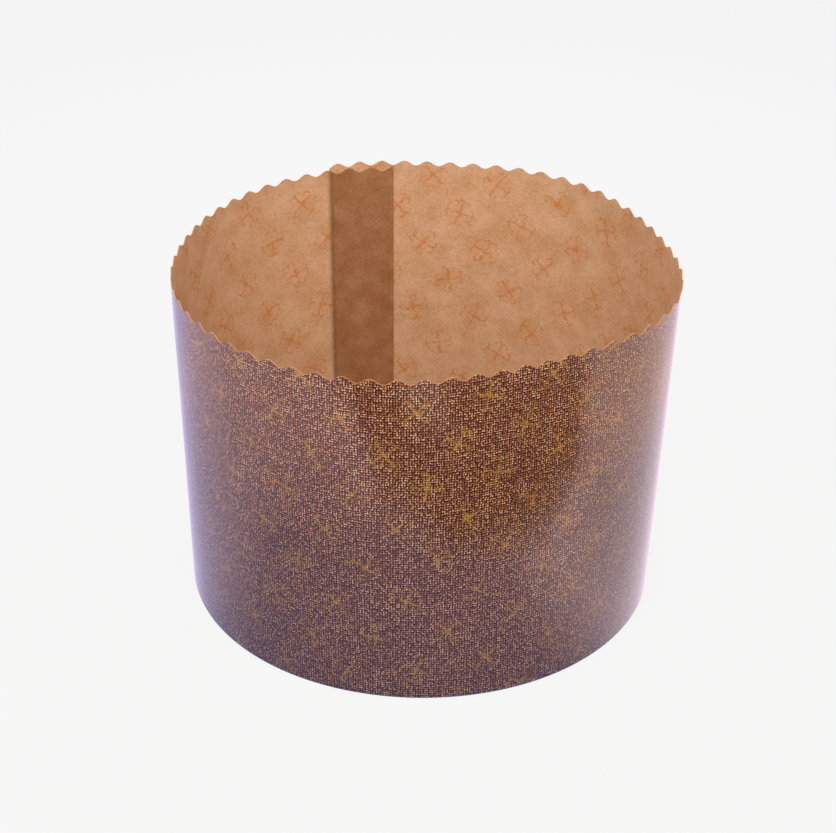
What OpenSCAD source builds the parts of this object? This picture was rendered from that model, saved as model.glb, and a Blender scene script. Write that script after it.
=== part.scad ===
// Panettone baking mould of printed kraft paper. One long sheet is rolled into the
// side wall, lapped and glued at the back, cut to scallops along the rim and crimped
// into a hem at the foot. A round base is pressed in from above and glued on the hem.

/* [Mould] */
// Outside diameter at the rim
rim_d = 134; // [90:1:220]
// Outside diameter at the foot
foot_d = 131; // [88:1:218]
// Height from the table to the middle of the scallops
height = 95; // [40:1:160]

/* [Paper] */
// Thickness of the side sheet
sheet_t = 0.25; // [0.15:0.05:0.5]
// Thickness of the base
base_t = 0.3; // [0.2:0.05:0.8]
// Film of glue between two layers
glue_t = 0.05; // [0.03:0.01:0.1]

/* [Scalloped rim] */
// Length of one scallop along the rim
scallop_pitch = 6.74; // [5:0.01:14]
// Height of a scallop from valley to crest
scallop_h = 1.4; // [0.4:0.1:4]

/* [Lap seam] */
// Azimuth of the inner free edge, from +X
seam_azimuth = 97.8; // [0:0.1:360]
// Width of the lap, where the sheet lies over its own start
lap_w = 19.36; // [8:0.01:40]
// How much higher the outer end stands at the rim
outer_rise = 1.6; // [0:0.1:3]
// Length of rim in which the outer end drifts back to the true height
outer_drift = 45; // [5:1:90]
// How much lower the inner end stands at the rim
inner_drop = 0.8; // [0:0.1:3]
// Length of rim in which the inner end drifts back to the true height
inner_drift = 20; // [5:1:90]
// Length of foot in which the sheet climbs over its own start
lap_climb = 8; // [4:0.5:20]

/* [Hem] */
// Width of the hem, turned in under the base
hem_w = 10; // [5:0.5:20]
// Outside radius of the fold between wall and hem
fold_r = 0.9; // [0.6:0.1:4]

/* [Base] */
// Space between the edge of the base and the fold
base_clearance = 0.2; // [0.1:0.1:2]
// Space between the hem's edge and the step pressed into the base
step_clearance = 0.6; // [0.3:0.1:3]
// Width of that step
step_w = 1.5; // [0.8:0.1:5]

/* [Rim out of round] */
// How far the rim stands off the middle of the foot
rim_shift = 1.5; // [0:0.1:4]
// Azimuth of that shift
rim_shift_azimuth = 75; // [-180:1:180]
// Two-lobed swelling of the rim
two_lobe = 1.4; // [0:0.1:3]
// Azimuth of a crest of the two lobes
two_lobe_azimuth = 27; // [-90:1:90]
// Three-lobed swelling of the rim
three_lobe = 0.6; // [0:0.1:2]
// Azimuth of a crest of the three lobes
three_lobe_azimuth = -9; // [-60:1:60]
// Four-lobed swelling of the rim
four_lobe = 1; // [0:0.1:2]
// Azimuth of a crest of the four lobes
four_lobe_azimuth = -25; // [-45:1:45]
// Five-lobed swelling of the rim
five_lobe = 0.8; // [0:0.1:2]
// Azimuth of a crest of the five lobes
five_lobe_azimuth = -19; // [-36:1:36]

/* [Hidden] */
$fn = 180;

rim_r = rim_d / 2;
foot_r = foot_d / 2;
layer_t = sheet_t + glue_t;

// The sheet is cut into columns. A turn holds a whole number of scallops and a half,
// so that in the lap the crests of one layer stand over the valleys of the other.
columns_per_scallop = 8;
columns_per_crimp = 4;
scallops_per_turn = round(PI * rim_d / scallop_pitch - 0.5) + 0.5;
columns_per_turn = columns_per_scallop * scallops_per_turn;
column_deg = 360 / columns_per_turn;
lap_columns = ceil(lap_w / (PI * rim_d) * columns_per_turn);
climb_columns = ceil(lap_climb / (PI * foot_d) * columns_per_turn);
last_column = columns_per_turn + lap_columns;
column_l = PI * rim_d / columns_per_turn;

fold_steps = 2;
hem_inner_r = foot_r - hem_w;

// Smooth step from 0 at a to 1 at b
function ease(a, b, x) =
    let (s = min(1, max(0, (x - a) / (b - a))))
    s * s * (3 - 2 * s);

function azimuth(i) = seam_azimuth + i * column_deg;

// Radius of the rim's outside, drawn a little out of round
function rim_at(az) =
    rim_r + rim_shift * cos(az - rim_shift_azimuth)
    + two_lobe * cos(2 * (az - two_lobe_azimuth))
    + three_lobe * cos(3 * (az - three_lobe_azimuth))
    + four_lobe * cos(4 * (az - four_lobe_azimuth))
    + five_lobe * cos(5 * (az - five_lobe_azimuth));

// How far the outer end stands out over the inner one
function outer_step(i) = layer_t * ease(columns_per_turn - climb_columns, columns_per_turn, i);

// How far the inner end's hem is lifted by the layer under it
function hem_lift(i) = layer_t * (1 - ease(lap_columns, lap_columns + climb_columns, i));

// Every fourth column of the hem stands up as a crimp, one layer high. Where the hem
// is doubled it is as thick already and lies flat.
function crimp(i) =
    i % columns_per_crimp == 0 ? max(0, layer_t - hem_lift(i) - outer_step(i)) : 0;

// The outer end stands high and the inner end low, and both drift back
function drift(i) =
    outer_rise * (1 - ease(0, outer_drift, (last_column - i) * column_l))
    - inner_drop * (1 - ease(0, inner_drift, i * column_l));

function top_z(i) =
    height + scallop_h / 2 * cos(360 * i / columns_per_scallop) + drift(i);

// One column's section as [radius, height], from the rim down the outside, round the
// fold and along the hem's underside, then back along the inside to the rim
function section(i) =
    let (
        outer_r = fold_r + outer_step(i),
        bend_r = foot_r - fold_r,
        bend_z = outer_r + hem_lift(i),
        foot = bend_r + outer_r,
        lean = (rim_at(azimuth(i)) - foot_r) / (height - bend_z),
        top = top_z(i),
        top_r = foot + lean * (top - bend_z),
        arc = [for (k = [0:fold_steps]) 90 * k / fold_steps],
        edge_z = hem_lift(i) + crimp(i)
    )
    concat(
        [[top_r, top]],
        [for (a = arc) [bend_r + outer_r * cos(a), bend_z - outer_r * sin(a)]],
        [[hem_inner_r, edge_z]],
        [[hem_inner_r, edge_z + sheet_t]],
        [for (k = [fold_steps:-1:0])
            let (a = arc[k], r = outer_r - sheet_t)
            [bend_r + r * cos(a), bend_z - r * sin(a)]],
        [[top_r - sheet_t, top]]
    );

module side_wall() {
    sections = [for (i = [0:last_column]) section(i)];
    size = len(sections[0]);
    points = [
        for (i = [0:last_column], p = sections[i])
            [p[0] * cos(azimuth(i)), p[0] * sin(azimuth(i)), p[1]]
    ];
    skin = [
        for (i = [0:last_column - 1], k = [0:size - 1])
            let (a = i * size + k, b = i * size + (k + 1) % size)
            each [[a, a + size, b], [b, a + size, b + size]]
    ];
    // The section bends like an L, so each cut end is a strip from outside to inside
    cut_ends = [
        for (k = [0:size / 2 - 2], base = [0, last_column * size])
            let (
                a = base + k,
                b = base + k + 1,
                c = base + size - 2 - k,
                d = base + size - 1 - k
            )
            each base == 0 ? [[a, b, c], [a, c, d]] : [[a, c, b], [a, d, c]]
    ];
    color("#7a5442")
        polyhedron(points = points, faces = concat(skin, cut_ends), convexity = 6);
}

module base_disc() {
    edge_r = foot_r - fold_r - base_clearance;
    step_out = hem_inner_r - step_clearance;
    step_in = step_out - step_w;
    seat_z = 2 * layer_t;
    color("#c08e63")
        rotate_extrude()
            polygon([
                [0, 0], [step_in, 0], [step_out, seat_z], [edge_r, seat_z],
                [edge_r, seat_z + base_t], [step_out, seat_z + base_t],
                [step_in, base_t], [0, base_t]
            ]);
}

side_wall();
base_disc();
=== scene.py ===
"""A round paper baking mold: a lapped sheet of printed, lacquered kraft with a scalloped
rim and a crimped hem, and a round kraft base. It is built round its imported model."""
import math

import bpy
from mathutils import Matrix, Vector


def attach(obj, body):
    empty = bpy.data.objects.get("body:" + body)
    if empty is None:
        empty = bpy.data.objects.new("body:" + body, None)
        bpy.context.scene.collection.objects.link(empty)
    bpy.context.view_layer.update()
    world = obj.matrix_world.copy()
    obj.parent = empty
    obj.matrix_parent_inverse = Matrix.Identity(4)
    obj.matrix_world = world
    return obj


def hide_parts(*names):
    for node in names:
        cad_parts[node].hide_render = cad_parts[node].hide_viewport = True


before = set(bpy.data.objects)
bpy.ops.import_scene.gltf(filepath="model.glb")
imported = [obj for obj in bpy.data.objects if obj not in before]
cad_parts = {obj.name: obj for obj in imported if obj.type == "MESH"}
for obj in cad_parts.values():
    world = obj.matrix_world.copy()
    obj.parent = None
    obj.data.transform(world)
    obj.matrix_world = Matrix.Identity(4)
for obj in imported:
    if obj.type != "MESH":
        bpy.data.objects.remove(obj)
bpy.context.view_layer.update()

bl_info = {
    "name": "Paper baking mold",
    "version": (1, 0, 0),
    "blender": (4, 5, 0),
    "location": "3D View > Sidebar > Mold",
    "description": "Builds a printed paper baking mold and its stage",
    "category": "Object",
}

MM = 0.001
TURN = 2 * math.pi

MATH = "ShaderNodeMath"
RANGE = "ShaderNodeMapRange"
VECTOR = "ShaderNodeVectorMath"
MIX = "ShaderNodeMix"      # for colours: 0 is the share, 6 and 7 are mixed, output 2 comes
NOISE = "ShaderNodeTexNoise"


def linear(code):
    """A hex sRGB colour as the linear values that shaders take."""
    parts = [int(code[i:i + 2], 16) / 255 for i in (1, 3, 5)]
    return [c / 12.92 if c <= 0.04045 else ((c + 0.055) / 1.055) ** 2.4 for c in parts]


def rgba(colour):
    return (*colour, 1)


def add(tree, kind, inputs=(), output=0, **settings):
    """Adds a node, sets it, joins or fills its inputs, and returns one output of it."""
    node = tree.nodes.new(kind)
    for name, value in settings.items():
        setattr(node, name, value)
    given = inputs if isinstance(inputs, dict) else dict(enumerate(inputs))
    for key, value in given.items():
        if isinstance(value, bpy.types.NodeSocket):
            tree.links.new(value, node.inputs[key])
        else:
            node.inputs[key].default_value = value
    return node.outputs[output] if node.outputs else node


def length(name, description, mm):
    return bpy.props.FloatProperty(
        name=name, description=description, default=mm * MM, unit="LENGTH", precision=5)


def colour(name, description, code):
    return bpy.props.FloatVectorProperty(
        name=name, description=description, default=linear(code), subtype="COLOR",
        min=0, max=1)


class MoldSheet(bpy.types.PropertyGroup):
    """Sizes of the rolled sheet."""
    rim_d: length("Rim", "Outside diameter at the rim", 134)
    foot_d: length("Foot", "Outside diameter at the foot", 131)
    height: length("Height", "From the table to the middle of the scallops", 95)
    sheet_t: length("Thickness", "Thickness of the sheet", 0.25)
    layer_t: length("Layer", "A sheet with its film of glue", 0.3)
    scallop_h: length("Scallop", "Height of a scallop from valley to crest", 1.4)
    lap_w: length("Lap", "How far the sheet lies over its own start", 19.36)
    outer_rise: length("Outer rise", "How much higher the outer end stands", 1.6)
    outer_drift: length("Outer drift", "Rim in which the outer end drifts back", 45)
    inner_drop: length("Inner drop", "How much lower the inner end stands", 0.8)
    inner_drift: length("Inner drift", "Rim in which the inner end drifts back", 20)
    lap_climb: length("Lap climb", "Foot in which the sheet climbs on itself", 8)
    hem_w: length("Hem", "Width of the hem under the base", 10)
    fold_r: length("Fold", "Outside radius of the fold above the hem", 0.9)
    ripple: length("Ripple", "How far the wall strays from true", 0.12)
    scallops: bpy.props.FloatProperty(
        name="Scallops", description="Scallops in a turn", default=62.5)
    crimps: bpy.props.IntProperty(
        name="Crimps", description="Crimps of the hem in a turn", default=125)
    seam: bpy.props.FloatProperty(
        name="Seam", description="Azimuth of the inner free edge", subtype="ANGLE",
        default=math.radians(97.8))
    lobes: bpy.props.FloatVectorProperty(
        name="Lobes", description="Shift of the rim, then its swelling in two to five lobes",
        size=5, unit="LENGTH", default=[size * MM for size in (1.5, 1.4, 0.6, 1.0, 0.8)])
    lobe_azimuths: bpy.props.FloatVectorProperty(
        name="Lobe azimuths", description="Azimuth of a crest of each swelling",
        size=5, unit="ROTATION", default=[math.radians(a) for a in (75, 27, -9, -25, -19)])


class MoldPrint(bpy.types.PropertyGroup):
    """Sizes and colours of the print and the kraft."""
    thread: length("Thread", "Pitch of the printed weave", 0.68)
    repeat_x: length("Repeat across", "Repeat of the ornament along the sheet", 18.9)
    repeat_y: length("Repeat up", "Repeat of the ornament up the sheet", 21.9)
    first_x: length("First across", "Place of one ornament along the sheet", 208.5)
    first_y: length("First up", "Place of that ornament up the sheet", 21.7)
    arm_l: length("Arm", "Length of an arm of the ornament", 3.6)
    line_w: length("Line", "Width of the ornament's lines", 0.5)
    tilt: bpy.props.FloatProperty(
        name="Tilt", description="How far the repeat is turned on the sheet",
        subtype="ANGLE", default=math.radians(-7.4))
    ground: colour("Ground", "Dark ink under the weave", "#401810")
    threads: colour("Threads", "Light dashes of the weave", "#E8C094")
    rust: colour("Rust", "Warmest dashes of the weave", "#A4643A")
    gold: colour("Gold", "Ink of the ornament", "#A0782A")
    kraft: colour("Kraft", "Plain inside of the paper", "#B69274")
    kraft_deep: colour("Deep kraft", "Darker fibre clouds", "#A57C58")
    shown: colour("Showing ink", "Ornament seen through the paper", "#A4642A")
    # Painted shade: the lap's darker colour stands for the light that two layers hold back
    lapped: colour("Lap", "What two layers leave of the kraft's colour", "#C0A896")
    # A darker line along the outer sheet's end, seen from inside through the lap
    end_line: colour("Ridge", "Line where the outer end presses through", "#54402C")
    edge: colour("Edge", "Cut edge of the paper", "#94683F")


class MoldStage(bpy.types.PropertyGroup):
    """Colours of the stage."""
    floor: colour("Floor", "Pale floor", "#D2D2D2")
    bounce: colour("Bounce", "Floor as it lights the mold from below", "#2A2A2A")
    backdrop: colour("Backdrop", "Pale background", "#F6F6F6")
    near_left: colour("Near left", "What the lacquer mirrors low on the left", "#6C7FB1")
    near_right: colour("Near right", "What it mirrors low on the right", "#F0DDED")
    far_left: colour("Far left", "What it mirrors high on the left", "#CDB5C8")
    far_right: colour("Far right", "What it mirrors high on the right", "#F6D3CB")
    side_left: colour("Left side", "What it mirrors along the left edge", "#AEA7C9")
    side_right: colour("Right side", "What it mirrors along the right edge", "#D8CBD9")
    flag: colour("Flag", "Dark card in front of the mold", "#1C120E")


def sheet_inputs(sheet):
    """Every number that the sheet's tree takes, by name."""
    girth = math.pi * sheet.rim_d
    lobes = {}
    for count, size, azimuth in zip(range(1, 6), sheet.lobes, sheet.lobe_azimuths):
        lobes[f"Swelling {count}"] = size
        lobes[f"Phase {count}"] = -count * azimuth
    return {
        "Rim radius": sheet.rim_d / 2,
        "Foot radius": sheet.foot_d / 2,
        "Height": sheet.height,
        "Layer": sheet.layer_t,
        "Scallop half height": sheet.scallop_h / 2,
        "Scallops": sheet.scallops,
        "Crimps": sheet.crimps,
        "Seam": sheet.seam,
        "Lap turn": sheet.lap_w / girth,
        "Outer rise": sheet.outer_rise,
        "Outer drift turn": sheet.outer_drift / girth,
        "Inner drop": sheet.inner_drop,
        "Inner drift turn": sheet.inner_drift / girth,
        "Climb turn": sheet.lap_climb / (math.pi * sheet.foot_d),
        "Hem width": sheet.hem_w,
        "Fold radius": sheet.fold_r,
        "Ripple": sheet.ripple,
        "Girth": girth,
        **lobes,
    }


COLUMNS_PER_SCALLOP = 12
HEM_ROWS, FOLD_ROWS, WALL_ROWS = 10, 8, 24


def sheet_tree(values, columns, material):
    """A flat grid, rolled into the wall, lapped, cut to scallops and turned in as a hem."""
    tree = bpy.data.node_groups.new("rolled_sheet", "GeometryNodeTree")
    for name, value in values.items():
        socket = tree.interface.new_socket(
            name, in_out="INPUT", socket_type="NodeSocketFloat")
        socket.default_value = value
    tree.interface.new_socket("Geometry", in_out="OUTPUT", socket_type="NodeSocketGeometry")
    given = tree.nodes.new("NodeGroupInput").outputs
    rows = HEM_ROWS + FOLD_ROWS + WALL_ROWS

    grid = add(tree, "GeometryNodeMeshGrid", [1.0, 1.0, columns + 1, rows + 1])
    place = add(tree, "GeometryNodeInputPosition")
    flat = add(tree, "ShaderNodeSeparateXYZ", [place]).node.outputs
    along = add(tree, MATH, [flat[0], 0.5], operation="ADD")
    up = add(tree, MATH, [flat[1], 0.5], operation="ADD")

    # Along the sheet: the turn runs from 0 at the inner end to one and the lap
    last = add(tree, MATH, [given["Lap turn"], 1.0], operation="ADD")
    turn = add(tree, MATH, [along, last], operation="MULTIPLY")
    angle = add(tree, MATH, [turn, TURN], operation="MULTIPLY")
    azimuth = add(tree, MATH, [angle, given["Seam"]], operation="ADD")
    climb_start = add(tree, MATH, [1.0, given["Climb turn"]], operation="SUBTRACT")
    step = add(tree, RANGE, [turn, climb_start, 1.0, 0.0, given["Layer"]],
               interpolation_type="SMOOTHSTEP")
    lift_end = add(tree, MATH, [given["Lap turn"], given["Climb turn"]], operation="ADD")
    lift = add(tree, RANGE, [turn, given["Lap turn"], lift_end, given["Layer"], 0.0],
               interpolation_type="SMOOTHSTEP")

    # Up the sheet: hem, then fold, then wall
    hem_end, fold_end = HEM_ROWS / rows, (HEM_ROWS + FOLD_ROWS) / rows
    hem = add(tree, RANGE, [up, 0.0, hem_end, 0.0, 1.0])
    bend = add(tree, RANGE, [up, hem_end, fold_end, math.pi / 2, 0.0])
    wall = add(tree, RANGE, [up, fold_end, 1.0, 0.0, 1.0])

    # The scalloped edge, with the outer end high and the inner end low
    wave = add(tree, MATH, [angle, given["Scallops"]], operation="MULTIPLY")
    wave = add(tree, MATH, [wave], operation="COSINE")
    drift_start = add(tree, MATH, [last, given["Outer drift turn"]], operation="SUBTRACT")
    high = add(tree, RANGE, [turn, drift_start, last, 0.0, given["Outer rise"]],
               interpolation_type="SMOOTHSTEP")
    low = add(tree, RANGE, [turn, 0.0, given["Inner drift turn"], given["Inner drop"], 0.0],
              interpolation_type="SMOOTHSTEP")
    drift = add(tree, MATH, [high, low], operation="SUBTRACT")
    top = add(tree, MATH, [wave, given["Scallop half height"], given["Height"]],
              operation="MULTIPLY_ADD")
    top = add(tree, MATH, [top, drift], operation="ADD")

    # The rim's outside radius, a little out of round
    rim = given["Rim radius"]
    for count in range(1, 6):
        lobe = add(tree, MATH, [azimuth, count, given[f"Phase {count}"]],
                   operation="MULTIPLY_ADD")
        lobe = add(tree, MATH, [lobe], operation="COSINE")
        rim = add(tree, MATH, [lobe, given[f"Swelling {count}"], rim],
                  operation="MULTIPLY_ADD")

    # The fold, and the wall that leans out from it
    outer = add(tree, MATH, [given["Fold radius"], step], operation="ADD")
    bend_z = add(tree, MATH, [outer, lift], operation="ADD")
    bend_r = add(tree, MATH, [given["Foot radius"], given["Fold radius"]],
                 operation="SUBTRACT")
    wall_h = add(tree, MATH, [given["Height"], bend_z], operation="SUBTRACT")
    spread = add(tree, MATH, [rim, given["Foot radius"]], operation="SUBTRACT")
    lean = add(tree, MATH, [spread, wall_h], operation="DIVIDE")
    rise = add(tree, MATH, [top, bend_z], operation="SUBTRACT")
    rise = add(tree, MATH, [rise, wall], operation="MULTIPLY")

    # The hem's crimps stand one layer high, and fade where the hem is doubled
    crest = add(tree, MATH, [angle, given["Crimps"]], operation="MULTIPLY")
    crest = add(tree, MATH, [crest], operation="COSINE")
    crest = add(tree, MATH, [crest, 0.5, 0.5], operation="MULTIPLY_ADD")
    crest = add(tree, MATH, [crest, 3.0], operation="POWER")
    room = add(tree, MATH, [given["Layer"], lift], operation="SUBTRACT")
    room = add(tree, MATH, [room, step], operation="SUBTRACT")
    in_hem = add(tree, MATH, [1.0, hem], operation="SUBTRACT")
    crimp = add(tree, MATH, [crest, room], operation="MULTIPLY")
    crimp = add(tree, MATH, [crimp, in_hem], operation="MULTIPLY")

    # Height and radius of each point of the sheet
    sine = add(tree, MATH, [bend], operation="SINE")
    cosine = add(tree, MATH, [bend], operation="COSINE")
    drop = add(tree, MATH, [sine, outer], operation="MULTIPLY")
    z = add(tree, MATH, [bend_z, drop], operation="SUBTRACT")
    z = add(tree, MATH, [z, rise], operation="ADD")
    z = add(tree, MATH, [z, crimp], operation="ADD")
    hem_l = add(tree, MATH, [given["Hem width"], given["Fold radius"]],
                operation="SUBTRACT")
    inset = add(tree, MATH, [in_hem, hem_l], operation="MULTIPLY")
    radius = add(tree, MATH, [bend_r, inset], operation="SUBTRACT")
    radius = add(tree, MATH, [cosine, outer, radius], operation="MULTIPLY_ADD")
    radius = add(tree, MATH, [lean, rise, radius], operation="MULTIPLY_ADD")

    # Soft ripples run up the wall, as in any hand-thin paper
    east = add(tree, MATH, [azimuth], operation="COSINE")
    north = add(tree, MATH, [azimuth], operation="SINE")
    round_about = add(tree, "ShaderNodeCombineXYZ", [east, north, add(
        tree, MATH, [wall, 0.6], operation="MULTIPLY")])
    ripple = add(tree, NOISE, {"Vector": round_about, "Scale": 3.2, "Detail": 2.0})
    ripple = add(tree, RANGE, [ripple, 0.3, 0.7, -1.0, 1.0])
    ripple = add(tree, MATH, [ripple, given["Ripple"]], operation="MULTIPLY")
    radius = add(tree, MATH, [ripple, wall, radius], operation="MULTIPLY_ADD")

    x = add(tree, MATH, [radius, east], operation="MULTIPLY")
    y = add(tree, MATH, [radius, north], operation="MULTIPLY")
    rolled = add(tree, "ShaderNodeCombineXYZ", [x, y, z])

    # The sheet's own flat coordinates, in metres, carry the print
    arc = add(tree, MATH, [bend, outer], operation="MULTIPLY")
    flat_y = add(tree, MATH, [rise, bend_z], operation="ADD")
    flat_y = add(tree, MATH, [flat_y, arc], operation="SUBTRACT")
    flat_y = add(tree, MATH, [flat_y, inset], operation="SUBTRACT")
    flat_x = add(tree, MATH, [turn, given["Girth"]], operation="MULTIPLY")
    unrolled = add(tree, "ShaderNodeCombineXYZ", [flat_x, flat_y, 0.0])
    kept = add(tree, "GeometryNodeStoreNamedAttribute",
               {"Geometry": grid, "Name": "sheet", "Value": unrolled},
               data_type="FLOAT2", domain="CORNER")
    moved = add(tree, "GeometryNodeSetPosition", {"Geometry": kept, "Position": rolled})
    shaded = add(tree, "GeometryNodeSetShadeSmooth", {"Geometry": moved})
    real = add(tree, "GeometryNodeRealizeInstances", {"Geometry": shaded})
    done = add(tree, "GeometryNodeSetMaterial", {"Geometry": real, "Material": material})
    add(tree, "NodeGroupOutput", [done])
    return tree


def new_material(name, roughness, **shader):
    """A material with one Principled shader and its plain numbers."""
    material = bpy.data.materials.new(name)
    material.use_nodes = True
    tree = material.node_tree
    tree.nodes.clear()
    surface = add(tree, "ShaderNodeBsdfPrincipled", {"Roughness": roughness})
    for key, value in shader.items():
        socket = key.replace("_", " ").title().replace("Ior", "IOR")
        surface.node.inputs[socket].default_value = value
    add(tree, "ShaderNodeOutputMaterial", [surface])
    return material, tree, surface.node


def printed_repeat(tree, sheet, look, spread):
    """Ink and stain of the ornament at a point of the sheet, 0 to 1: a small cross of
    brushed arms, each with a hook to either side, that lies a little differently in each
    place."""
    wobble = add(tree, NOISE, {"Vector": sheet, "Scale": 700.0, "Detail": 2.0}, "Color")
    wobble = add(tree, VECTOR, [wobble, (0.5, 0.5, 0.5)], operation="SUBTRACT")
    wobble = add(tree, VECTOR, {0: wobble, "Scale": 2.0 * MM}, operation="SCALE")
    point = add(tree, VECTOR, [sheet, wobble], operation="ADD")
    point = add(tree, VECTOR, [point, (look.first_x, look.first_y, 0)], operation="SUBTRACT")
    turned = add(tree, "ShaderNodeVectorRotate", {"Vector": point, "Angle": look.tilt},
                 rotation_type="Z_AXIS")

    # Two slanting steps lead from each ornament to its neighbours, half a repeat each
    right = Vector((look.repeat_x / 2, -look.repeat_y / 2, 0))
    left = Vector((look.repeat_x / 2, look.repeat_y / 2, 0))
    cross = right.x * left.y - right.y * left.x
    along_right = (left.y / cross, -left.x / cross, 0)
    along_left = (-right.y / cross, right.x / cross, 0)
    local, cell = None, []
    for measure, step in ((along_right, right), (along_left, left)):
        steps = add(tree, VECTOR, [turned, measure], "Value", operation="DOT_PRODUCT")
        whole = add(tree, MATH, [steps], operation="ROUND")
        part = add(tree, MATH, [steps, whole], operation="SUBTRACT")
        reach = add(tree, VECTOR, {0: tuple(step), "Scale": part}, operation="SCALE")
        local = reach if local is None else add(tree, VECTOR, [local, reach], operation="ADD")
        cell.append(whole)
    chance = add(tree, "ShaderNodeTexWhiteNoise", [add(
        tree, "ShaderNodeCombineXYZ", [cell[0], cell[1], 0.0])], noise_dimensions="3D")
    lean = add(tree, RANGE, [chance, 0.0, 1.0, 0.2, 1.4])
    local = add(tree, "ShaderNodeVectorRotate", {"Vector": local, "Angle": lean},
                rotation_type="Z_AXIS")

    # Folded into one quarter, so that one arm along the axis serves for all four
    folded = add(tree, VECTOR, [local], operation="ABSOLUTE")
    sides = add(tree, "ShaderNodeSeparateXYZ", [folded]).node.outputs
    far = add(tree, MATH, [sides[0], sides[1]], operation="MAXIMUM")
    near = add(tree, MATH, [sides[0], sides[1]], operation="MINIMUM")

    # Arm: a stroke that thins outwards. Hook: the outer half of a ring beside its end.
    hook_far, hook_near, hook_r = (look.arm_l * share for share in (0.88, 0.27, 0.24))
    arm_heavier, hook_finer = look.line_w * 0.12, look.line_w * 0.25
    over = add(tree, MATH, [far, look.arm_l], operation="SUBTRACT")
    over = add(tree, MATH, [over, 0.0], operation="MAXIMUM")
    taper = add(tree, MATH, [far, 0.04], operation="MULTIPLY")
    arm = add(tree, MATH, [near, over], operation="ADD")
    arm = add(tree, MATH, [arm, taper], operation="ADD")
    arm = add(tree, MATH, [arm, arm_heavier], operation="SUBTRACT")
    ring = add(tree, "ShaderNodeCombineXYZ", [far, near, 0.0])
    ring = add(tree, VECTOR, [ring, (hook_far, hook_near, 0)], "Value",
               operation="DISTANCE")
    ring = add(tree, MATH, [ring, hook_r], operation="SUBTRACT")
    ring = add(tree, MATH, [ring], operation="ABSOLUTE")
    inner = add(tree, MATH, [hook_far, far], operation="SUBTRACT")
    ring = add(tree, MATH, [ring, inner], operation="MAXIMUM")
    ring = add(tree, MATH, [ring, hook_finer], operation="ADD")
    line = add(tree, MATH, [arm, ring], operation="MINIMUM")
    ink = add(tree, RANGE, [line, spread * 0.25, spread, 1.0, 0.0],
              interpolation_type="SMOOTHSTEP")
    # The heart is a full blot with a stain round it, and the brush leaves the rest broken
    reach = add(tree, VECTOR, [local], "Value", operation="LENGTH")
    blot = add(tree, RANGE, [reach, look.arm_l * 0.05, look.arm_l * 0.3, 1.0, 0.0],
               interpolation_type="SMOOTHSTEP")
    breaks = add(tree, NOISE, {"Vector": sheet, "Scale": 420.0, "Detail": 3.0})
    breaks = add(tree, RANGE, [breaks, 0.36, 0.52, 0.2, 1.0])
    stain = add(tree, RANGE, [reach, 0.0, look.arm_l * 1.3, 0.3, 0.0],
                interpolation_type="SMOOTHSTEP")
    ink = add(tree, MATH, [ink, breaks], operation="MULTIPLY")
    stain = add(tree, MATH, [stain, breaks], operation="MULTIPLY")
    return add(tree, MATH, [ink, blot], operation="MAXIMUM"), stain


def printed_weave(tree, sheet, look):
    """Short upright and level dashes, one to a cell, as the threads of a coarse linen."""
    scaled = add(tree, VECTOR, {0: sheet, "Scale": 1 / look.thread}, operation="SCALE")
    flat = add(tree, "ShaderNodeTexVoronoi", {"Vector": scaled, "Scale": 1.0,
                                              "Randomness": 0.45}, voronoi_dimensions="2D")
    cell = flat.node.outputs
    off = add(tree, VECTOR, [scaled, cell["Position"]], operation="SUBTRACT")
    off = add(tree, VECTOR, [off], operation="ABSOLUTE")
    off = add(tree, "ShaderNodeSeparateXYZ", [off]).node.outputs
    chance = add(tree, "ShaderNodeSeparateColor", [cell["Color"]]).node.outputs
    level = add(tree, MATH, [chance[0], 0.5], operation="GREATER_THAN")
    across = add(tree, MIX, [level, (0, 0, 0), off[0], off[1]])
    along = add(tree, MIX, [level, (0, 0, 0), off[1], off[0]])
    along = add(tree, MATH, [along, 0.14], operation="SUBTRACT")
    along = add(tree, MATH, [along, 0.0], operation="MAXIMUM")
    off = add(tree, "ShaderNodeCombineXYZ", [across, along, 0.0])
    off = add(tree, VECTOR, [off], "Value", operation="LENGTH")
    dash = add(tree, RANGE, [off, 0.08, 0.32, 1.0, 0.0], interpolation_type="SMOOTHSTEP")
    tone = add(tree, RANGE, [chance[1], 0.0, 1.0, 0.25, 1.3])
    warmth = add(tree, RANGE, [chance[2], 0.2, 0.9, 0.1, 0.9])
    return add(tree, MATH, [dash, tone], operation="MULTIPLY"), warmth


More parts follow.
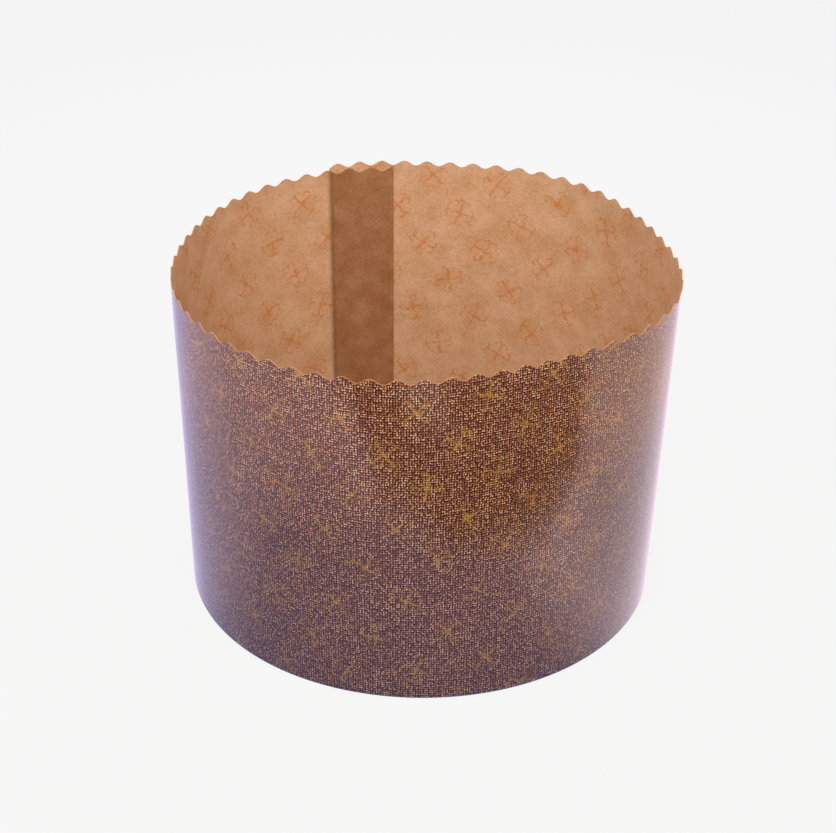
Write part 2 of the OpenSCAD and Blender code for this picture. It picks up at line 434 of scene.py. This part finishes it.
def printed_kraft(look):
    """Kraft printed in two inks and sealed with a baking lacquer. The lacquer is smooth and
    clear, so it mirrors its surroundings as a soft haze over a print that is itself matt."""
    material, tree, surface = new_material(
        "printed_kraft", 0.55, coat_weight=1.0, coat_roughness=0.12, coat_ior=1.55,
        specular_ior_level=0.2)
    sheet = add(tree, "ShaderNodeUVMap", uv_map="sheet")
    dashes, warmth = printed_weave(tree, sheet, look)
    ink, _ = printed_repeat(tree, sheet, look, look.line_w * 0.8)
    clouds = add(tree, NOISE, {"Vector": sheet, "Scale": 60.0, "Detail": 3.0})
    clouds = add(tree, RANGE, [clouds, 0.3, 0.7, 0.8, 1.15])
    dashes = add(tree, MATH, [dashes, clouds], operation="MULTIPLY")
    threads = add(tree, MIX, {0: warmth, 6: rgba(look.threads), 7: rgba(look.rust)}, 2,
                  data_type="RGBA")
    print_ = add(tree, MIX, {0: dashes, 6: rgba(look.ground), 7: threads}, 2,
                 data_type="RGBA")
    # The gold is a thin ink over both, so the weave still shows through it
    cover = add(tree, MATH, [ink, 0.65], operation="MULTIPLY")
    print_ = add(tree, MIX, {0: cover, 6: print_, 7: rgba(look.gold)}, 2, data_type="RGBA")
    tree.links.new(print_, surface.inputs["Base Color"])
    grain = add(tree, NOISE, {"Vector": sheet, "Scale": 420.0, "Detail": 3.0})
    bump = add(tree, "ShaderNodeBump", {"Strength": 0.25, "Distance": 0.05 * MM,
                                        "Height": grain})
    tree.links.new(bump, surface.inputs["Normal"])
    # The lacquer bridges the fibres, so only long waves of the paper reach its mirror
    waves = add(tree, VECTOR, [sheet, (1.0, 0.12, 1.0)], operation="MULTIPLY")
    waves = add(tree, NOISE, {"Vector": waves, "Scale": 150.0, "Detail": 2.0})
    bump = add(tree, "ShaderNodeBump", {"Strength": 0.5, "Distance": 0.12 * MM,
                                        "Height": waves})
    tree.links.new(bump, surface.inputs["Coat Normal"])
    return material


def fibre_clouds(tree, place, look):
    """Bare kraft: soft clouds where the pulp lies thicker, and short fibres over them."""
    clouds = add(tree, NOISE, {"Vector": place, "Scale": 130.0, "Detail": 5.0,
                               "Roughness": 0.6})
    fibres = add(tree, NOISE, {"Vector": place, "Scale": 1100.0, "Detail": 3.0,
                               "Roughness": 0.7})
    mixed = add(tree, MATH, [fibres, 1.0, -0.5], operation="MULTIPLY_ADD")
    mixed = add(tree, MATH, [mixed, clouds], operation="ADD")
    mixed = add(tree, RANGE, [mixed, 0.3, 0.7, 0.0, 1.0])
    return add(tree, MIX, {0: mixed, 6: rgba(look.kraft), 7: rgba(look.kraft_deep)}, 2,
               data_type="RGBA")


def plain_kraft(look, lap_w):
    """Bare greaseproof kraft, matt, with the ornament showing through from the print. Where
    two layers lie together the kraft is painted darker, in patches: painted shade for the
    light that comes through one layer but not through two."""
    material, tree, surface = new_material("plain_kraft", 0.72, specular_ior_level=0.25)
    sheet = add(tree, "ShaderNodeUVMap", uv_map="sheet")
    kraft = fibre_clouds(tree, sheet, look)
    faint, stain = printed_repeat(tree, sheet, look, look.line_w)
    faint = add(tree, MATH, [faint, stain], operation="MAXIMUM")
    along = add(tree, "ShaderNodeSeparateXYZ", [sheet])
    before, after = lap_w - 0.3 * MM, lap_w + 0.3 * MM
    single = add(tree, RANGE, [along, before, after, 0.3, 0.75])
    faint = add(tree, MATH, [faint, single], operation="MULTIPLY")
    kraft = add(tree, MIX, {0: faint, 6: kraft, 7: rgba(look.shown)}, 2, data_type="RGBA")
    # The lap is painted darker in uneven patches: painted shade for the light that two layers
    # hold back
    uneven_lap_shade = add(tree, NOISE, {"Vector": sheet, "Scale": 160.0, "Detail": 3.0})
    uneven_lap_shade = add(tree, RANGE, [uneven_lap_shade, 0.3, 0.7, 0.8, 1.05])
    lapped = add(tree, RANGE, [along, before, after, 1.0, 0.0])
    lapped = add(tree, MATH, [lapped, uneven_lap_shade], operation="MULTIPLY", use_clamp=True)
    kraft = add(tree, MIX, {0: lapped, 6: kraft, 7: rgba(look.lapped)}, 2,
                data_type="RGBA", blend_type="MULTIPLY")
    # A darker line runs along where the outer sheet ends, behind the inner one
    end_line = add(tree, MATH, [along, lap_w], operation="SUBTRACT")
    end_line = add(tree, MATH, [end_line], operation="ABSOLUTE")
    end_line = add(tree, RANGE, [end_line, 0.1 * MM, 1.2 * MM, 0.5, 0.0])
    kraft = add(tree, MIX, {0: end_line, 6: kraft, 7: rgba(look.end_line)}, 2, data_type="RGBA")
    tree.links.new(kraft, surface.inputs["Base Color"])
    grain = add(tree, NOISE, {"Vector": sheet, "Scale": 1400.0, "Detail": 4.0})
    bump = add(tree, "ShaderNodeBump", {"Strength": 0.35, "Distance": 0.06 * MM,
                                        "Height": grain})
    tree.links.new(bump, surface.inputs["Normal"])
    return material


def base_kraft(look):
    """The base is unprinted kraft card, matt and cloudy."""
    material, tree, surface = new_material("base_kraft", 0.75, specular_ior_level=0.25)
    place = add(tree, "ShaderNodeTexCoord", output="Object")
    kraft = fibre_clouds(tree, place, look)
    tree.links.new(kraft, surface.inputs["Base Color"])
    grain = add(tree, NOISE, {"Vector": place, "Scale": 1400.0, "Detail": 4.0})
    bump = add(tree, "ShaderNodeBump", {"Strength": 0.35, "Distance": 0.06 * MM,
                                        "Height": grain})
    tree.links.new(bump, surface.inputs["Normal"])
    return material


def cut_edge(look):
    """The die leaves a pale, open edge of fibres."""
    material, tree, surface = new_material("cut_edge", 0.85, specular_ior_level=0.2)
    place = add(tree, "ShaderNodeTexCoord", output="Object")
    fibres = add(tree, NOISE, {"Vector": place, "Scale": 2500.0, "Detail": 2.0})
    paper = add(tree, MIX, {0: fibres, 6: rgba(look.edge), 7: rgba(look.kraft_deep)}, 2,
                data_type="RGBA")
    tree.links.new(paper, surface.inputs["Base Color"])
    return material


def settled(context, thing):
    """The plain mesh that an object's modifiers make of it."""
    ready = thing.evaluated_get(context.evaluated_depsgraph_get())
    return bpy.data.meshes.new_from_object(ready)


class MOLD_OT_side_wall(bpy.types.Operator):
    """Rolls the printed sheet into the wall"""
    bl_idname = "mold.side_wall"
    bl_label = "Side wall"

    def execute(self, context):
        sheet, look = context.scene.mold_sheet, context.scene.mold_print
        inks = printed_kraft(look)
        values = sheet_inputs(sheet)
        columns = round(sheet.scallops * COLUMNS_PER_SCALLOP * (1 + values["Lap turn"]))
        tree = sheet_tree(values, columns, inks)
        host = bpy.data.objects.new("sheet_host", bpy.data.meshes.new("sheet_host"))
        context.collection.objects.link(host)
        rolled = host.modifiers.new("rolled_sheet", "NODES")
        rolled.node_group = tree
        for item in tree.interface.items_tree:
            if item.in_out == "INPUT":
                rolled[item.identifier] = values[item.name]
        host.data = settled(context, host)
        host.modifiers.clear()
        for extra in (plain_kraft(look, sheet.lap_w), cut_edge(look)):
            host.data.materials.append(extra)
        body = host.modifiers.new("paper", "SOLIDIFY")
        body.thickness = sheet.sheet_t
        body.offset = -1
        body.use_rim = True
        body.material_offset = 1
        body.material_offset_rim = 2
        mesh = settled(context, host)
        bpy.data.objects.remove(host)
        mesh.set_sharp_from_angle(angle=math.radians(50))
        wall = bpy.data.objects.new("rolled_wall", mesh)
        context.collection.objects.link(wall)
        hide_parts("side_wall")
        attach(wall, "root")
        return {"FINISHED"}


class MOLD_OT_base(bpy.types.Operator):
    """Gives the base its kraft card"""
    bl_idname = "mold.base"
    bl_label = "Base"

    def execute(self, context):
        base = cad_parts["base_disc"]
        card = base_kraft(context.scene.mold_print)
        base.data.materials.clear()
        base.data.materials.append(card)
        return {"FINISHED"}


# How brightly the lacquer mirrors the stage
MIRRORED = 2.0
LAMP_SIZE = 0.2
WHITE, WARM = (1, 1, 1), (1, 0.74, 0.52)


def by_ray(tree, seen, mirrored, lit):
    """One shader for camera and transmission rays, one for glossy rays, one that lights."""
    rays = add(tree, "ShaderNodeLightPath").node.outputs
    direct = add(tree, MATH, [rays["Is Camera Ray"], rays["Is Transmission Ray"]],
                 operation="ADD", use_clamp=True)
    mixed = add(tree, "ShaderNodeMixShader", [rays["Is Glossy Ray"], lit, mirrored])
    return add(tree, "ShaderNodeMixShader", [direct, mixed, seen])


def aim(thing, place, target, roll=0.0):
    """Stands a lamp or camera at a place and turns it to a target."""
    look = (Vector(target) - Vector(place)).to_track_quat("-Z", "Y").to_matrix().to_4x4()
    thing.matrix_world = Matrix.Translation(place) @ look @ Matrix.Rotation(roll, 4, "Z")


def soft_lamp(context, name, place, target, power, tint):
    """A square lamp that lights the paper but isn't mirrored in the lacquer."""
    lamp = bpy.data.lights.new(name, "AREA")
    lamp.shape = "SQUARE"
    lamp.size = LAMP_SIZE
    lamp.energy = power
    lamp.color = tint
    holder = bpy.data.objects.new(name, lamp)
    context.collection.objects.link(holder)
    holder.visible_glossy = False
    aim(holder, place, target)


class MOLD_OT_stage(bpy.types.Operator):
    """Sets the floor, the soft light and the camera"""
    bl_idname = "mold.stage"
    bl_label = "Stage"

    def execute(self, context):
        look = context.scene.mold_stage
        self.floor(context, look)
        self.flag(context, look)
        self.surroundings(context, look)
        self.lamps(context)
        self.camera(context)
        context.scene.view_settings.view_transform = "Standard"
        return {"FINISHED"}

    def plane(self, context, name, low, high, z):
        """A level rectangle of the stage with an empty material."""
        mesh = bpy.data.meshes.new(name)
        corners = [(low[0], low[1], z), (high[0], low[1], z), (high[0], high[1], z),
                   (low[0], high[1], z)]
        mesh.from_pydata(corners, [], [(0, 1, 2, 3)])
        level = bpy.data.objects.new(name, mesh)
        context.collection.objects.link(level)
        material = bpy.data.materials.new(name)
        material.use_nodes = True
        material.node_tree.nodes.clear()
        mesh.materials.append(material)
        return level, material.node_tree

    def floor(self, context, look):
        """A plain pale floor that shows as the background does, with the mold's shadow. The
        lacquer mirrors it blue near the foot on the left, bright and warm further out and
        to the right, and lilac beside and behind the mold."""
        floor, tree = self.plane(context, "floor", (-3, -3), (3, 3), -0.2 * MM)
        matt = add(tree, "ShaderNodeBsdfDiffuse", [rgba(look.floor)])
        pale = add(tree, "ShaderNodeEmission", [rgba(look.backdrop), 1.0])
        seen = add(tree, "ShaderNodeMixShader", [0.96, matt, pale])
        place = add(tree, "ShaderNodeTexCoord", output="Object")
        place = add(tree, "ShaderNodeSeparateXYZ", [place]).node.outputs
        reach = add(tree, "ShaderNodeCombineXYZ", [place[0], place[1], 0.0])
        reach = add(tree, VECTOR, [reach], "Value", operation="LENGTH")
        side = add(tree, MATH, [place[1], 0.5, place[0]], operation="MULTIPLY_ADD")
        side = add(tree, RANGE, [side, 0.0, 0.06, 0.0, 1.0],
                   interpolation_type="SMOOTHSTEP")
        near = add(tree, MIX, {0: side, 6: rgba(look.near_left), 7: rgba(look.near_right)}, 2,
                   data_type="RGBA")
        edges = add(tree, MIX, {0: side, 6: rgba(look.side_left), 7: rgba(look.side_right)},
                    2, data_type="RGBA")
        aside = add(tree, MATH, [place[0]], operation="ABSOLUTE")
        aside = add(tree, MATH, [aside, 0.6, place[1]], operation="MULTIPLY_ADD")
        behind = add(tree, RANGE, [aside, -0.03, 0.03, 0.0, 1.0],
                     interpolation_type="SMOOTHSTEP")
        near = add(tree, MIX, {0: behind, 6: near, 7: edges}, 2, data_type="RGBA")
        side = add(tree, RANGE, [place[0], -0.05, 0.10, 0.0, 1.0],
                   interpolation_type="SMOOTHSTEP")
        far = add(tree, MIX, {0: side, 6: rgba(look.far_left), 7: rgba(look.far_right)}, 2,
                  data_type="RGBA")
        behind = add(tree, RANGE, [place[1], 0.05, 0.12, 0.0, 1.0],
                     interpolation_type="SMOOTHSTEP")
        far = add(tree, MIX, {0: behind, 6: far, 7: edges}, 2, data_type="RGBA")
        out = add(tree, RANGE, [reach, 0.12, 0.20, 0.0, 1.0],
                  interpolation_type="SMOOTHSTEP")
        tint = add(tree, MIX, {0: out, 6: near, 7: far}, 2, data_type="RGBA")
        mirrored = add(tree, "ShaderNodeEmission", [tint, MIRRORED])
        weak = add(tree, "ShaderNodeBsdfDiffuse", [rgba(look.bounce)])
        add(tree, "ShaderNodeOutputMaterial", [by_ray(tree, seen, mirrored, weak)])

    def flag(self, context, look):
        """A dark card in front that only the lacquer mirrors: neither the camera nor the
        light sees it. Its edges are feathered, it has a gap at its middle, and it fades out
        away from the mold."""
        card, tree = self.plane(context, "flag_card", (-0.20, -0.45), (0.40, -0.03), 1 * MM)
        place = add(tree, "ShaderNodeTexCoord", output="Object")
        radius = add(tree, VECTOR, [place], "Value", operation="LENGTH")
        place = add(tree, "ShaderNodeSeparateXYZ", [place]).node.outputs
        angle = add(tree, MATH, [place[1], place[0]], operation="ARCTAN2")

        def fade(first, last, start, end):
            """A smooth change between two azimuths in degrees."""
            first, last = math.radians(first), math.radians(last)
            return add(tree, RANGE, [angle, first, last, start, end],
                       interpolation_type="SMOOTHSTEP")

        near = add(tree, MATH, [radius, fade(-122, -96, 78 * MM, 0.0)], operation="SUBTRACT")
        near = add(tree, MATH, [near, fade(-50, -26, 0.0, 35 * MM)], operation="SUBTRACT")
        near = add(tree, MATH, [near, fade(-92, -72, 0.0, 20 * MM)], operation="ADD")
        near = add(tree, RANGE, [near, 0.136, 0.176, 0.0, 1.0],
                   interpolation_type="SMOOTHSTEP")
        right = fade(-34, -26, 1.0, 0.0)
        gap = add(tree, MATH, [fade(-94, -86, 0.0, 1.0), fade(-76, -66, 1.0, 0.0)],
                  operation="MULTIPLY")
        deep = add(tree, RANGE, [radius, 0.195, 0.215, 0.0, 0.6],
                   interpolation_type="SMOOTHSTEP")
        gap = add(tree, MATH, [gap, deep], operation="MULTIPLY")
        whole = add(tree, MATH, [1.0, gap], operation="SUBTRACT")
        mask = add(tree, MATH, [near, right], operation="MULTIPLY")
        mask = add(tree, MATH, [mask, whole], operation="MULTIPLY")
        close = add(tree, RANGE, [radius, 0.24, 0.34, 1.0, 0.0],
                    interpolation_type="SMOOTHSTEP")
        mask = add(tree, MATH, [mask, close], operation="MULTIPLY")
        clear = add(tree, "ShaderNodeBsdfTransparent")
        dark = add(tree, "ShaderNodeBsdfDiffuse", [rgba(look.flag)])
        add(tree, "ShaderNodeOutputMaterial", [add(
            tree, "ShaderNodeMixShader", [mask, clear, dark])])
        card.visible_camera = False
        card.visible_diffuse = False
        card.visible_shadow = False

    def surroundings(self, context, look):
        """Even daylight, pale to the camera and lilac in the lacquer."""
        world = bpy.data.worlds.new("daylight")
        context.scene.world = world
        world.use_nodes = True
        tree = world.node_tree
        tree.nodes.clear()
        light = add(tree, "ShaderNodeBackground", [(1, 1, 1, 1), 0.3])
        pale = add(tree, "ShaderNodeBackground", [rgba(look.backdrop), 1.0])
        lilac = add(tree, "ShaderNodeBackground", [rgba(look.far_left), MIRRORED])
        add(tree, "ShaderNodeOutputWorld", [by_ray(tree, pale, lilac, light)])

    def lamps(self, context):
        """One lamp above the front, near enough to fade down the wall, a weak warm one to
        either side, and one behind for the back and the inside of the front."""
        for name, place, target, power, tint in (
                ("front", (-0.02, -0.24, 0.30), (0, -0.05, 0.08), 1.66, WHITE),
                ("left", (-0.25, -0.10, 0.26), (0, 0, 0.07), 0.28, WARM),
                ("right", (0.25, -0.10, 0.26), (0, 0, 0.07), 0.36, WARM),
                ("back", (0, 0.32, 0.30), (0, 0.05, 0.06), 1.6, WHITE)):
            soft_lamp(context, name, place, target, power, tint)

    def camera(self, context):
        """The photograph's own viewpoint: 30 degrees above the table and 550 mm away."""
        distance, raised, middle = 0.550, math.radians(30.19), 48.05 * MM
        place = (0, -distance * math.cos(raised), middle + distance * math.sin(raised))
        target = (-1.03 * MM, 0, middle - 0.29 * MM)
        camera = bpy.data.cameras.new("camera")
        camera.lens, camera.sensor_width = 84.9, 36
        holder = bpy.data.objects.new("camera", camera)
        context.collection.objects.link(holder)
        aim(holder, place, target, math.radians(0.43))
        context.scene.camera = holder


class MOLD_PT_build(bpy.types.Panel):
    """Builds the mold, piece by piece"""
    bl_idname = "MOLD_PT_build"
    bl_label = "Paper baking mold"
    bl_space_type = "VIEW_3D"
    bl_region_type = "UI"
    bl_category = "Mold"

    def draw(self, context):
        for kind in OPERATORS:
            self.layout.operator(kind.bl_idname)
        for name, group in GROUPS.items():
            box = self.layout.box()
            for field in group.__annotations__:
                box.prop(getattr(context.scene, name), field)


OPERATORS = (MOLD_OT_side_wall, MOLD_OT_base, MOLD_OT_stage)
GROUPS = {"mold_sheet": MoldSheet, "mold_print": MoldPrint, "mold_stage": MoldStage}


def register():
    for kind in (*GROUPS.values(), *OPERATORS, MOLD_PT_build):
        bpy.utils.register_class(kind)
    for name, group in GROUPS.items():
        setattr(bpy.types.Scene, name, bpy.props.PointerProperty(type=group))


def unregister():
    for name in GROUPS:
        delattr(bpy.types.Scene, name)
    for kind in (MOLD_PT_build, *OPERATORS, *GROUPS.values()):
        bpy.utils.unregister_class(kind)


def main():
    register()
    bpy.ops.mold.side_wall()
    bpy.ops.mold.base()
    bpy.ops.mold.stage()


if __name__ == "__main__":
    main()
